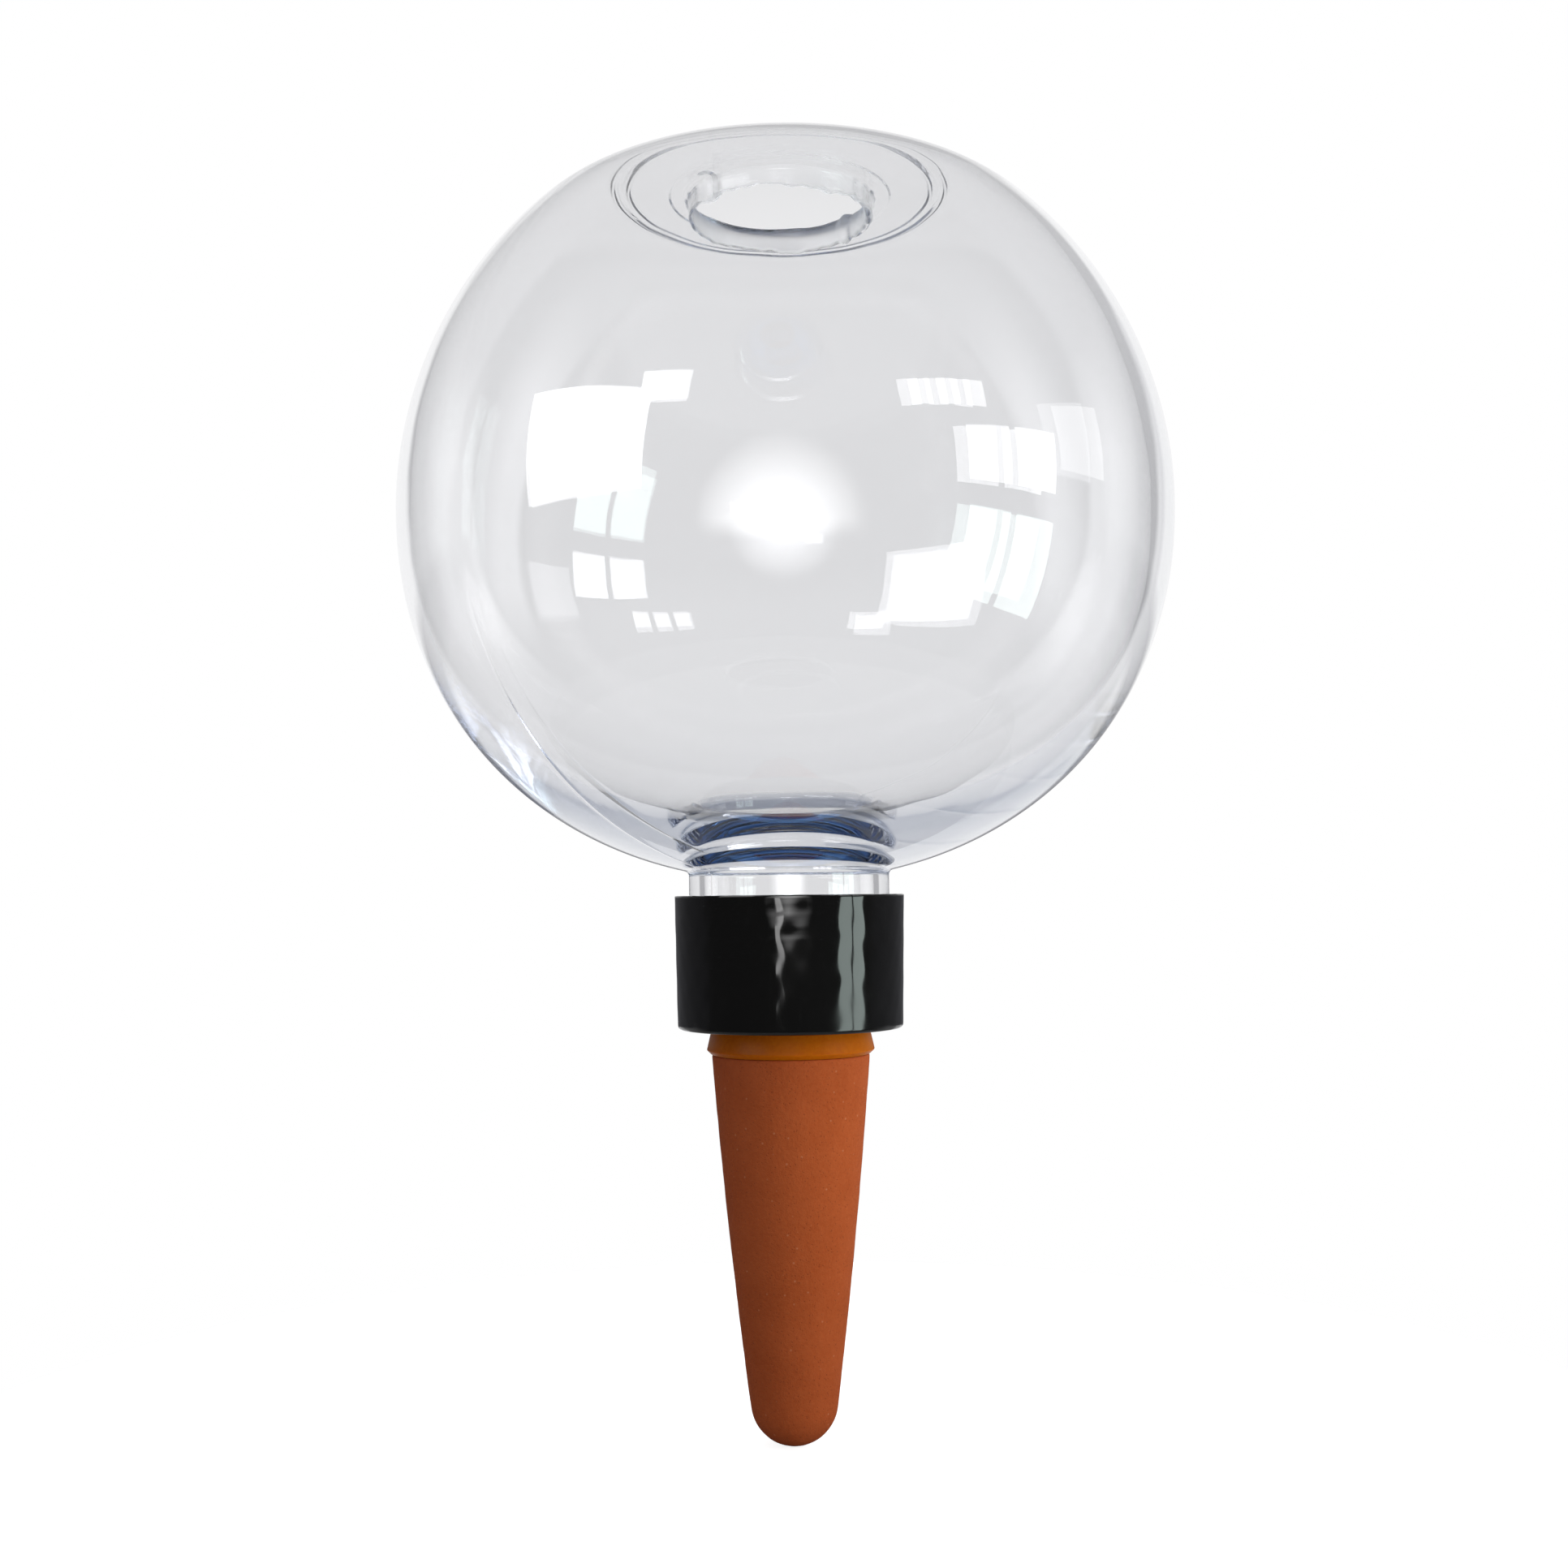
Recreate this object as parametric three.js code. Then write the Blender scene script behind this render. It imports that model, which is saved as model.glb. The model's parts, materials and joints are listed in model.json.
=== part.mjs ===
// Plant watering globe: a clear blown bottle that stands neck down in a screw collar,
// which clamps it onto a hollow terracotta stake. Water is poured in through the hole cut in its top.
// Millimetres, +Z up. The origin is on the axis at the soil line, where the stake's shoulder meets its seal.
import * as THREE from 'three';

// Globe: two superellipse halves that meet at the equator, with a wall that thickens down to the neck
const globeRadius = 50;
const globeWall = 2.25;
const crownHeight = 50.6;
const crownWall = 2.1;
const crownPower = 1.97;
const crownRounding = 6;
const bowlHeight = 46.9;
const bowlWall = 5.2;
const bowlPower = 2.12;
const hollowPower = 2.2;

// Standing ring, recess and filler hole in the crown
const ringRadius = 22.2;
const ringDrop = 1.5;
const ringLand = 0.9;
const recessDepth = 0.4;
const recessRun = 2.1;
const fillerRadius = 11.3;

// Neck of the globe, below the bowl
const neckRadius = 13.1;
const neckWall = 2;
const neckReach = 3.1;
const neckFillet = 0.6;
const mouthFillet = 1.5;

// Screw collar: the bore leaves room for the screw thread round the neck
const threadRoom = 0.7;
const collarWall = 1.2;
const collarDraft = 0.25;
const collarHeight = 17.4;
const collarEdge = 0.5;
const collarLedge = 2;
const ledgeReach = 3.3;

// Seal bush, snapped through the collar's ledge, with a flared skirt below it
const ledgeClearance = 0.15;
const bushWall = 1.25;
const bushFlange = 1.3;
const skirtHeight = 3.4;
const lipHeight = 0.6;
const lipGrip = 0.5;

// Terracotta stake: the shoulder stands on the soil, the spigot and flange above it are held in the collar
const spigotClearance = 0.1;
const shoulderStep = 1.35;
const stakeLength = 51.3;
const stakeBulge = 0.3;
const stakeWall = 2.6;
const stakeFlange = 2.8;
const tipRadius = 5.75;

// Washer between the stake's flange and the end of the neck
const washerThickness = 1.5;
const flangeClearance = 0.2;

// Facets: steps round the axis and along the curved stretches of a profile
const turnSteps = 40;
const roundSteps = 13;
const curveSteps = 4;

// Heights, from the soil line up
const ledgeTop = skirtHeight + collarLedge;
const stakeFlangeBottom = ledgeTop + bushFlange;
const stakeFlangeTop = stakeFlangeBottom + stakeFlange;
const neckEnd = stakeFlangeTop + washerThickness;
const collarTop = skirtHeight + collarHeight;
const neckRoot = collarTop + neckReach;
const equator = neckRoot + roundHeight(neckRadius, globeRadius, bowlHeight, bowlPower);
const crownLevel = equator + roundHeight(ringRadius, globeRadius, crownHeight, crownPower) - ringDrop;

// Radii, from the neck in to the stake
const neckBore = neckRadius - neckWall;
const collarBore = neckRadius + threadRoom;
const collarRadius = collarBore + collarWall;
const flangeRadius = collarBore - flangeClearance;
const ledgeHole = collarBore - ledgeReach;
const sleeveRadius = ledgeHole - ledgeClearance;
const lipRadius = ledgeHole + lipGrip;
const bushBore = sleeveRadius - bushWall;
const spigotRadius = bushBore - spigotClearance;
const shoulderRadius = spigotRadius + shoulderStep;
const mouthRadius = spigotRadius - stakeWall;

const at = (radius, height) => new THREE.Vector2(radius, height);

// The two skins of the blown shell
const outerSkin = {
  widest: globeRadius, crown: crownHeight, bowl: bowlHeight, power: bowlPower,
  neck: neckRadius, fillet: neckFillet, level: crownLevel,
};
const innerSkin = {
  widest: globeRadius - globeWall, crown: crownHeight - crownWall, bowl: bowlHeight - bowlWall,
  power: hollowPower, neck: neckBore, fillet: mouthFillet, level: crownLevel - crownWall,
};

// Height of a round above or below the equator
function roundHeight(radius, widest, height, power) {
  return height * (1 - (radius / widest) ** power) ** (1 / power);
}

// Radii on a round from the equator to an end radius, evenly spread in angle
function roundRadii(endRadius, widest, power) {
  const endAngle = Math.acos((endRadius / widest) ** (power / 2));
  const angles = Array.from({ length: roundSteps + 1 }, (_, i) => (endAngle * i) / roundSteps);
  return angles.map((angle) => widest * Math.cos(angle) ** (2 / power));
}

// The lower of two heights, with the corner between them rounded over a given height
function softLower(a, b, rounding) {
  const overlap = Math.max(rounding - Math.abs(a - b), 0);
  return Math.min(a, b) - overlap ** 2 / (4 * rounding);
}

// One skin of the globe: from the end of the neck up to the standing ring, and in through the recess
function roundSkin(skin) {
  const bowlAt = (radius) => equator - roundHeight(radius, skin.widest, skin.bowl, skin.power);
  const crownAt = (radius) => equator + roundHeight(radius, skin.widest, skin.crown, crownPower);
  const bowlStart = skin.neck + skin.fillet;

  const neck = new THREE.Path();
  neck.moveTo(skin.neck, neckEnd);
  neck.lineTo(skin.neck, bowlAt(skin.neck) - skin.fillet);
  neck.quadraticCurveTo(skin.neck, bowlAt(skin.neck), bowlStart, bowlAt(bowlStart));
  const bowl = roundRadii(bowlStart, skin.widest, skin.power)
    .slice(0, -1)
    .map((radius) => at(radius, bowlAt(radius)))
    .reverse();
  const crown = roundRadii(ringRadius, skin.widest, crownPower)
    .slice(1)
    .map((radius) => at(radius, softLower(crownAt(radius), skin.level, crownRounding)));
  const ringHeight = crown.at(-1).y;
  const recess = Array.from({ length: curveSteps + 1 }, (_, i) => i / curveSteps)
    .map((along) => at(
      ringRadius - ringLand - recessRun * along,
      ringHeight - recessDepth * THREE.MathUtils.smoothstep(along, 0, 1),
    ));
  const holeEdge = at(fillerRadius, ringHeight - recessDepth);
  return [...neck.getPoints(curveSteps), ...bowl, ...crown, ...recess, holeEdge];
}

// Blown shell: the outside up to the filler hole, then the inside back down to the neck
function globeProfile() {
  return [...roundSkin(outerSkin), ...roundSkin(innerSkin).reverse()];
}

// Collar: drafted outside with a rounded lower edge, plain bore, and a ledge at the foot
function collarProfile() {
  const footRadius = collarRadius - collarDraft;
  const path = new THREE.Path();
  path.moveTo(ledgeHole, skirtHeight);
  path.lineTo(footRadius - collarEdge, skirtHeight);
  path.quadraticCurveTo(footRadius, skirtHeight, footRadius, skirtHeight + collarEdge);
  path.lineTo(collarRadius, collarTop);
  path.lineTo(collarBore, collarTop);
  path.lineTo(collarBore, ledgeTop);
  path.lineTo(ledgeHole, ledgeTop);
  return path.getPoints(curveSteps);
}

// Bush: a flange on the ledge, a sleeve through it, and the skirt that flares down to a lip below the collar
function bushProfile() {
  return [
    at(bushBore, 0),
    at(sleeveRadius, 0),
    at(lipRadius, lipHeight),
    at(sleeveRadius, skirtHeight),
    at(sleeveRadius, ledgeTop),
    at(flangeRadius, ledgeTop),
    at(flangeRadius, stakeFlangeBottom),
    at(bushBore, stakeFlangeBottom),
  ];
}

// A side that tapers, bulges a little and runs into a ball end, from a radius at a height down to the axis
function taperToBall(radius, height, ballRadius, lowest, bulge) {
  const ballHeight = lowest + ballRadius;
  const slope = (radius - ballRadius + 4 * bulge) / (height - ballHeight);
  const lean = Math.atan(slope);
  const joinRadius = ballRadius * Math.cos(lean);
  const joinHeight = ballHeight - ballRadius * Math.sin(lean);
  const midRadius = (radius + joinRadius) / 2 + 2 * bulge;
  const path = new THREE.Path();
  path.moveTo(radius, height);
  path.quadraticCurveTo(midRadius, (height + joinHeight) / 2, joinRadius, joinHeight);
  path.absarc(0, ballHeight, ballRadius, -lean, -Math.PI / 2, true);
  return path.getPoints(curveSteps);
}

// Stake: the outside from the tip up to the flange, then the hollow that a tapered core leaves
function stakeProfile() {
  const coreRadius = tipRadius - stakeWall;
  const outside = taperToBall(shoulderRadius, 0, tipRadius, -stakeLength, stakeBulge);
  const hollow = taperToBall(mouthRadius, stakeFlangeTop, coreRadius, stakeWall - stakeLength, 0);
  return [
    ...outside.reverse(),
    at(spigotRadius, 0),
    at(spigotRadius, stakeFlangeBottom),
    at(flangeRadius, stakeFlangeBottom),
    at(flangeRadius, stakeFlangeTop),
    ...hollow,
  ];
}

// Washer: a flat ring over the top of the stake's flange, as wide inside as the hollow of the stake
function washerProfile() {
  return [
    at(mouthRadius, stakeFlangeTop),
    at(flangeRadius, stakeFlangeTop),
    at(flangeRadius, neckEnd),
    at(mouthRadius, neckEnd),
  ];
}

// Profiles run anticlockwise, seen with radius to the right; a ring's ends where it starts
const ring = (profile) => [...profile, profile[0].clone()];

// A piece turned about the upright axis
function turned(name, profile, material) {
  const geometry = new THREE.LatheGeometry(profile, turnSteps).rotateX(Math.PI / 2);
  const piece = new THREE.Mesh(geometry, material);
  piece.name = name;
  return piece;
}

const clearPlastic = new THREE.MeshStandardMaterial({
  color: 0xe4e6e8, roughness: 0.04, metalness: 0, transparent: true, opacity: 0.35,
});
const blackPlastic = new THREE.MeshStandardMaterial({ color: 0x0d0d0e, roughness: 0.16, metalness: 0 });
const amberRubber = new THREE.MeshStandardMaterial({ color: 0x8a4207, roughness: 0.35, metalness: 0 });
const terracotta = new THREE.MeshStandardMaterial({ color: 0xa45a35, roughness: 0.9, metalness: 0 });
const blueRubber = new THREE.MeshStandardMaterial({ color: 0x3f6aa6, roughness: 0.5, metalness: 0 });

const wateringGlobe = new THREE.Group();
wateringGlobe.add(
  turned('globe_bottle', ring(globeProfile()), clearPlastic),
  turned('screw_collar', ring(collarProfile()), blackPlastic),
  turned('seal_bush', ring(bushProfile()), amberRubber),
  turned('terracotta_stake', stakeProfile(), terracotta),
  turned('neck_washer', ring(washerProfile()), blueRubber),
);

export default wateringGlobe;
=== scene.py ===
# Plant watering globe: the finish of every piece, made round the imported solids. Metres, +Z up.
import json
import math
from collections import namedtuple

import bmesh
import bpy
import numpy as np
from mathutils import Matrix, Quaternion, Vector, noise


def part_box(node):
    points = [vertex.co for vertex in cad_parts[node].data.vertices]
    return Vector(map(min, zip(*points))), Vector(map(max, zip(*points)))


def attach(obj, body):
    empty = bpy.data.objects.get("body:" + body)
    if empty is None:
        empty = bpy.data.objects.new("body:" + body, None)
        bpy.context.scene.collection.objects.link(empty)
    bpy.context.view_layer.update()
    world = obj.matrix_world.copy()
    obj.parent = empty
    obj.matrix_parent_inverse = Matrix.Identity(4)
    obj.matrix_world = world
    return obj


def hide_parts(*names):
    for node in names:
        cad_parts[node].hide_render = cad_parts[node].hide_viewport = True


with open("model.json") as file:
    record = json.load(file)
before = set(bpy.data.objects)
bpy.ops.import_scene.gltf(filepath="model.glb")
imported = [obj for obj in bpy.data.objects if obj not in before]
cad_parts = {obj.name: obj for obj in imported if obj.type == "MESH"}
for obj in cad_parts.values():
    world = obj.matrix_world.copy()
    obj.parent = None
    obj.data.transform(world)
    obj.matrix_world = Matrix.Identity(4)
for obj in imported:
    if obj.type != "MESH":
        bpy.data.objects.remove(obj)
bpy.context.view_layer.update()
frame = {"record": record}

scene = bpy.context.scene
MM = 0.001

# Sizes that the solids give
globe_low, globe_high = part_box("globe_bottle")
collar_low, collar_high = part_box("screw_collar")
bush_low, bush_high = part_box("seal_bush")
stake_low, stake_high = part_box("terracotta_stake")
washer_low, washer_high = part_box("neck_washer")
GLOBE_RADIUS = globe_high.x
RING_TOP = globe_high.z
NECK_END = globe_low.z
COLLAR_RADIUS = collar_high.x
COLLAR_FOOT = collar_low.z
COLLAR_TOP = collar_high.z
FLANGE_RADIUS = bush_high.x
BUSH_FOOT = bush_low.z
STAKE_FLANGE_BOTTOM = bush_high.z
STAKE_FLANGE_TOP = stake_high.z
STAKE_TIP = stake_low.z
WASHER_RADIUS = washer_high.x
WASHER_BOTTOM = washer_low.z
WASHER_TOP = washer_high.z
THREAD_PITCH = math.tau / frame["record"]["behaviour"]["couplings"][0]["ratio"]

# Globe: two superellipse halves over a neck, flattened on top to a standing ring round a recess
GLOBE_WALL = 2.25 * MM
CROWN_HEIGHT = 50.6 * MM
CROWN_WALL = 0.9 * MM
CROWN_POWER = 1.97
CROWN_ROUNDING = 6 * MM
BOWL_HEIGHT = 46.9 * MM
BOWL_WALL = 5.2 * MM
BOWL_POWER = 2.12
HOLLOW_POWER = 2.2
RING_RADIUS = 22.2 * MM
RING_DROP = 1.5 * MM
RING_LAND = 0.9 * MM
RECESS_DEPTH = 0.4 * MM
RECESS_RUN = 6.5 * MM
RECESS_STEP = 0.35
STEP_RUN = 0.9 * MM
BEAD_RADII = (21.7 * MM, 19.7 * MM)
BEAD_HEIGHT = 0.11 * MM
BEAD_WIDTH = 0.28 * MM
NECK_RADIUS = 13.1 * MM
NECK_WALL = 2 * MM
NECK_FILLET = 0.6 * MM
MOUTH_FILLET = 1.5 * MM
NECK_EDGE = 0.25 * MM

# Filler hole in the recess: its edge is rolled over into a lip that hangs inside the globe
FILLER_RADIUS = 11.3 * MM
FILLER_EDGE = 1.6 * MM
FILLER_LIP_DROP = 2.4 * MM
FILLER_LIP_WALL = 0.8 * MM
FILLER_LIP_EDGE = 0.3 * MM
FILLER_LIP_FILLET = 0.9 * MM
FILLER_LIP_RAGGED = 0.15 * MM
PLATE_MARGIN = 1 * MM

# Traces of blow moulding: the parting line, the pinched weld across the base, a rough cut and uneven walls
PARTING_BEARING = math.radians(-139)
PARTING_HEIGHT = 0.05 * MM
PARTING_WIDTH = 0.25 * MM
PARTING_FAINT = 12 * MM
PARTING_FULL = 30 * MM
WELD_HEIGHT = 0.42 * MM
WELD_WIDTH = 0.9 * MM
WELD_END = 13.6 * MM
WELD_FADE = 2 * MM
CUT_ROUGHNESS = 0.05 * MM
CUT_REACH = 1.2 * MM
WALL_DRIFT = 0.45 * MM
INNER_WAVE = 0.03 * MM
OUTER_WAVE = 0.012 * MM
WAVE_RISE = 8 * MM

# Waves of the walls and of the cut: each has a share, a count round the axis, a twist by height and a phase
WALL_WAVES = ((1, 2, 35, 0), (0.6, 3, -60, 1))
CUT_WAVES = ((1, 5, 0, 1), (0.6, 13, 0, 2), (0.5, 29, 0, 0))

# Screw thread of the neck and the collar
THREAD_DEPTH = 0.55 * MM
THREAD_CREST = 0.5 * MM
THREAD_FLANK = 0.5 * MM
THREAD_RUN_IN = 0.12
NECK_THREAD_START = NECK_END + 1.3 * MM
NECK_THREAD_TURNS = 2.5
COLLAR_THREAD_START = NECK_THREAD_START + THREAD_PITCH / 2
COLLAR_THREAD_TURNS = 2.2

# Collar, with the sink marks over its thread and the shrink marks that stray across its skin
COLLAR_WALL = 1.2 * MM
COLLAR_DRAFT = 0.25 * MM
COLLAR_LEDGE = 2 * MM
LEDGE_REACH = 3.3 * MM
LEDGE_EDGE = 0.2 * MM
COLLAR_FOOT_EDGE = 0.55 * MM
COLLAR_TOP_EDGE = 0.16 * MM
COLLAR_MOUTH_EDGE = 0.3 * MM
COLLAR_CORNER = 0.4 * MM
THREAD_SINK = 0.006 * MM
SHRINK_DEPTH = 0.014 * MM
SHRINK_ROW = 5.2 * MM
SHRINK_ROW_STRAY = 1.5
SHRINK_ROW_STRAYS = 7
SHRINK_COLUMNS = 26
SHRINK_COLUMN_STRAY = 2
SHRINK_COLUMN_STRAYS = 3

# Seal bush, snapped through the collar's ledge, and the washer
LEDGE_CLEARANCE = 0.15 * MM
BUSH_WALL = 1.25 * MM
BUSH_LIP_HEIGHT = 0.6 * MM
BUSH_LIP_GRIP = 0.5 * MM
BUSH_LIP_EDGE = 0.14 * MM
BUSH_BORE_EDGE = 0.15 * MM
BUSH_FLANGE_EDGE = 0.3 * MM
SKIRT_EDGE = 0.2 * MM
SKIRT_FILLET = 0.3 * MM
SLEEVE_FILLET = 0.1 * MM
WASHER_EDGE = 0.25 * MM

# Terracotta stake, with lumps and grain in its clay
SPIGOT_CLEARANCE = 0.1 * MM
SHOULDER_STEP = 1.35 * MM
STAKE_BULGE = 0.3 * MM
STAKE_WALL = 2.6 * MM
TIP_RADIUS = 5.75 * MM
CLAY_EDGE = 0.35 * MM
CLAY_LUMP = 2.4 * MM
CLAY_GRAIN = 0.7 * MM
GRAIN_SHARE = 0.5
CLAY_RELIEF = 0.03 * MM

# Radii and heights that follow, from the collar in to the stake
COLLAR_BORE = COLLAR_RADIUS - COLLAR_WALL
LEDGE_TOP = COLLAR_FOOT + COLLAR_LEDGE
LEDGE_HOLE = COLLAR_BORE - LEDGE_REACH
SLEEVE_RADIUS = LEDGE_HOLE - LEDGE_CLEARANCE
BUSH_LIP_RADIUS = LEDGE_HOLE + BUSH_LIP_GRIP
BUSH_BORE = SLEEVE_RADIUS - BUSH_WALL
SPIGOT_RADIUS = BUSH_BORE - SPIGOT_CLEARANCE
SHOULDER_RADIUS = SPIGOT_RADIUS + SHOULDER_STEP
MOUTH_RADIUS = SPIGOT_RADIUS - STAKE_WALL

# Mesh fineness: columns round the axis, rows along a profile or the length of a row
GLOBE_COLUMNS = 240
SEAM_STEPS = np.array([0.12, 0.25, 0.4, 0.6]) * MM
COLLAR_COLUMNS = 224
STAKE_COLUMNS = 176
SEAL_COLUMNS = 192
ROUND_ROWS = 64
STAKE_ROWS = 128
RECESS_ROWS = 80
CURVE_ROWS = 16
CORNER_ROWS = 5
JOIN_ROWS = 3
THREAD_ROW = 0.13 * MM
COLLAR_ROW = 2 * THREAD_ROW
LIP_ROW = 0.2 * MM
PLAIN_ROW = 0.5 * MM
SHARP_ANGLE = math.radians(40)
ON_AXIS = 1e-7

# Camera, found from the photographed outline
CAMERA_PLACE = (-0.68 * MM, -242.7 * MM, 21.07 * MM)
CAMERA_SENSOR = 36
CAMERA_LENS = 42.48
CAMERA_ROLL = math.radians(0.6)
CAMERA_RISE = 0.0694


def smooth(share):
    """Smooth step from 0 to 1."""
    share = np.clip(share, 0, 1)
    return share * share * (3 - 2 * share)


def bell(distance):
    """Bell curve that is 1 in its middle."""
    return np.exp(-(distance**2))


def waves(rows, height, angle):
    """Waves round the axis, added up."""
    return sum(share * np.sin(count * angle + twist * height + phase) for share, count, twist, phase in rows)


def round_height(radius, widest, height, power):
    """Height of a round above or below the equator."""
    return height * (1 - np.minimum(radius / widest, 1) ** power) ** (1 / power)


def round_radii(end_radius, widest, power):
    """Radii on a round from the equator to an end radius, evenly spread in angle."""
    end_angle = math.acos((end_radius / widest) ** (power / 2))
    return widest * np.cos(np.linspace(0, end_angle, ROUND_ROWS + 1)) ** (2 / power)


def soft_lower(first, second, rounding):
    """The lower of two heights, with the corner between them rounded."""
    overlap = np.maximum(rounding - np.abs(first - second), 0)
    return np.minimum(first, second) - overlap**2 / (4 * rounding)


def rows_of(radius, height):
    """Rows of (radius, height), where either may be one number."""
    return np.column_stack(np.broadcast_arrays(radius, height))


def curve(start, bend, end, count):
    """Rows on a quadratic curve."""
    share = np.linspace(0, 1, count + 1)[:, None]
    return (1 - share) ** 2 * start + 2 * share * (1 - share) * bend + share**2 * end


def rounded(corners, closed=True):
    """Profile from corners of (radius, height, rounding): each corner becomes a short curve."""
    points = np.array([corner[:2] for corner in corners])
    *_, roundings = zip(*corners)
    profile = []
    for index, (point, rounding) in enumerate(zip(points, roundings)):
        at_end = not closed and index in (0, len(corners) - 1)
        if at_end or rounding == 0:
            profile.append(point[None])
            continue
        sides = [points[index - 1] - point, points[(index + 1) % len(points)] - point]
        start, end = [point + side / np.linalg.norm(side) * rounding for side in sides]
        profile.append(curve(start, point, end, CORNER_ROWS))
    return np.concatenate(profile)


def divided(profile, row, closed=True):
    """A profile with its long sides cut into rows."""
    ends = np.roll(profile, -1, axis=0) if closed else profile[1:]
    parts = []
    for start, end in zip(profile, ends):
        count = max(math.ceil(np.linalg.norm(end - start) / row), 1)
        parts.append(start + (end - start) * np.arange(count)[:, None] / count)
    return np.concatenate(parts if closed else [*parts, profile[-1:]])


def columns(count):
    """Angles round the axis."""
    return np.linspace(0, math.tau, count, endpoint=False)


def turned(name, profile, angles, relief=None, closed=True):
    """A piece turned about the axis from an anticlockwise profile; relief lifts its skin."""
    before, after = np.roll(profile, 1, axis=0), np.roll(profile, -1, axis=0)
    if not closed:
        before[0], after[-1] = profile[0], profile[-1]
    tangent = after - before
    normal = np.column_stack([tangent[:, 1], -tangent[:, 0]])
    normal /= np.linalg.norm(normal, axis=1, keepdims=True)
    angle = np.broadcast_to(angles, (len(profile), len(angles)))
    radius = np.repeat(profile[:, :1], len(angles), axis=1)
    height = np.repeat(profile[:, 1:], len(angles), axis=1)
    if relief:
        lift = relief(radius, height, angle)
        radius = radius + lift * normal[:, :1]
        height = height + lift * normal[:, 1:]
    points = np.stack([radius * np.cos(angle), radius * np.sin(angle), height], axis=-1)

    number = np.arange(angle.size).reshape(angle.shape)
    low = number if closed else number[:-1]
    high = np.roll(number, -1, axis=0) if closed else number[1:]
    faces = np.stack([low, np.roll(low, -1, axis=1), np.roll(high, -1, axis=1), high], axis=-1)
    mesh = bpy.data.meshes.new(name)
    mesh.from_pydata(points.reshape(-1, 3).tolist(), [], faces.reshape(-1, 4).tolist())
    if not closed:
        join_on_axis(mesh)
    mesh.shade_smooth()
    mesh.set_sharp_from_angle(angle=SHARP_ANGLE)
    piece = bpy.data.objects.new(name, mesh)
    scene.collection.objects.link(piece)
    return piece


def join_on_axis(mesh):
    """Joins the points of a profile's ends, which all lie on the axis."""
    shape = bmesh.new()
    shape.from_mesh(mesh)
    on_axis = [point for point in shape.verts if point.co.xy.length < ON_AXIS]
    bmesh.ops.remove_doubles(shape, verts=on_axis, dist=ON_AXIS)
    shape.to_mesh(mesh)
    shape.free()


def thread_ridge(height, angle, start, turns):
    """How far a right-hand thread stands up, from 0 to 1, on a helix that starts at a height."""
    position = (height - start) / THREAD_PITCH - angle / math.tau
    turn = np.round(position)
    aside = np.abs(position - turn) * THREAD_PITCH
    along = turn + angle / math.tau
    ends = smooth(along / THREAD_RUN_IN) * smooth((turns - along) / THREAD_RUN_IN)
    return ends * (1 - smooth((aside - THREAD_CREST / 2) / THREAD_FLANK))


# Heights of the globe, and its two skins
CROWN_AT_RING = round_height(RING_RADIUS, GLOBE_RADIUS, CROWN_HEIGHT, CROWN_POWER)
EQUATOR = RING_TOP - soft_lower(CROWN_AT_RING, CROWN_AT_RING - RING_DROP, CROWN_ROUNDING)
CROWN_LEVEL = EQUATOR + CROWN_AT_RING - RING_DROP
FILLER_LIP_END = RING_TOP - RECESS_DEPTH - CROWN_WALL - FILLER_LIP_DROP
PLATE_LOW = FILLER_LIP_END - PLATE_MARGIN
Skin = namedtuple("Skin", "widest crown bowl power neck fillet edge level hole")
OUTER_SKIN = Skin(
    widest=GLOBE_RADIUS, crown=CROWN_HEIGHT, bowl=BOWL_HEIGHT, power=BOWL_POWER,
    neck=NECK_RADIUS, fillet=NECK_FILLET, edge=NECK_EDGE, level=CROWN_LEVEL,
    hole=FILLER_RADIUS + 2 * FILLER_EDGE,
)
INNER_SKIN = Skin(
    widest=GLOBE_RADIUS - GLOBE_WALL, crown=CROWN_HEIGHT - CROWN_WALL, bowl=BOWL_HEIGHT - BOWL_WALL,
    power=HOLLOW_POWER, neck=NECK_RADIUS - NECK_WALL, fillet=MOUTH_FILLET, edge=-NECK_EDGE,
    level=CROWN_LEVEL - CROWN_WALL, hole=FILLER_RADIUS + FILLER_LIP_WALL + 2 * FILLER_LIP_FILLET,
)


def round_skin(skin):
    """One skin of the globe: from the end of the neck up to the standing ring, and in through the recess."""
    bowl_radii = round_radii(skin.neck + skin.fillet, skin.widest, skin.power)[::-1]
    crown_radii = round_radii(RING_RADIUS, skin.widest, CROWN_POWER)[1:]
    bowl = EQUATOR - round_height(bowl_radii, skin.widest, skin.bowl, skin.power)
    dome = EQUATOR + round_height(crown_radii, skin.widest, skin.crown, CROWN_POWER)
    crown = soft_lower(dome, skin.level, CROWN_ROUNDING)
    recess_radii = np.linspace(RING_RADIUS, skin.hole, RECESS_ROWS + 1)[1:]
    into_recess = RING_RADIUS - RING_LAND - recess_radii
    step, dish = smooth(into_recess / STEP_RUN), smooth(into_recess / RECESS_RUN)
    sunk = RECESS_STEP * step + (1 - RECESS_STEP) * dish
    neck_top = EQUATOR - round_height(skin.neck, skin.widest, skin.bowl, skin.power)
    neck_rows = np.arange(NECK_END + NECK_EDGE, neck_top - skin.fillet, THREAD_ROW)
    root = curve(
        np.array((skin.neck, neck_top - skin.fillet)), np.array((skin.neck, neck_top)),
        np.array((bowl_radii[0], bowl[0])), CURVE_ROWS,
    )
    return np.concatenate([
        [(skin.neck - skin.edge, NECK_END)],
        rows_of(skin.neck, neck_rows),
        root,
        rows_of(bowl_radii, bowl)[1:],
        rows_of(crown_radii, crown),
        rows_of(recess_radii, crown[-1] - RECESS_DEPTH * sunk),
    ])


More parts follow.
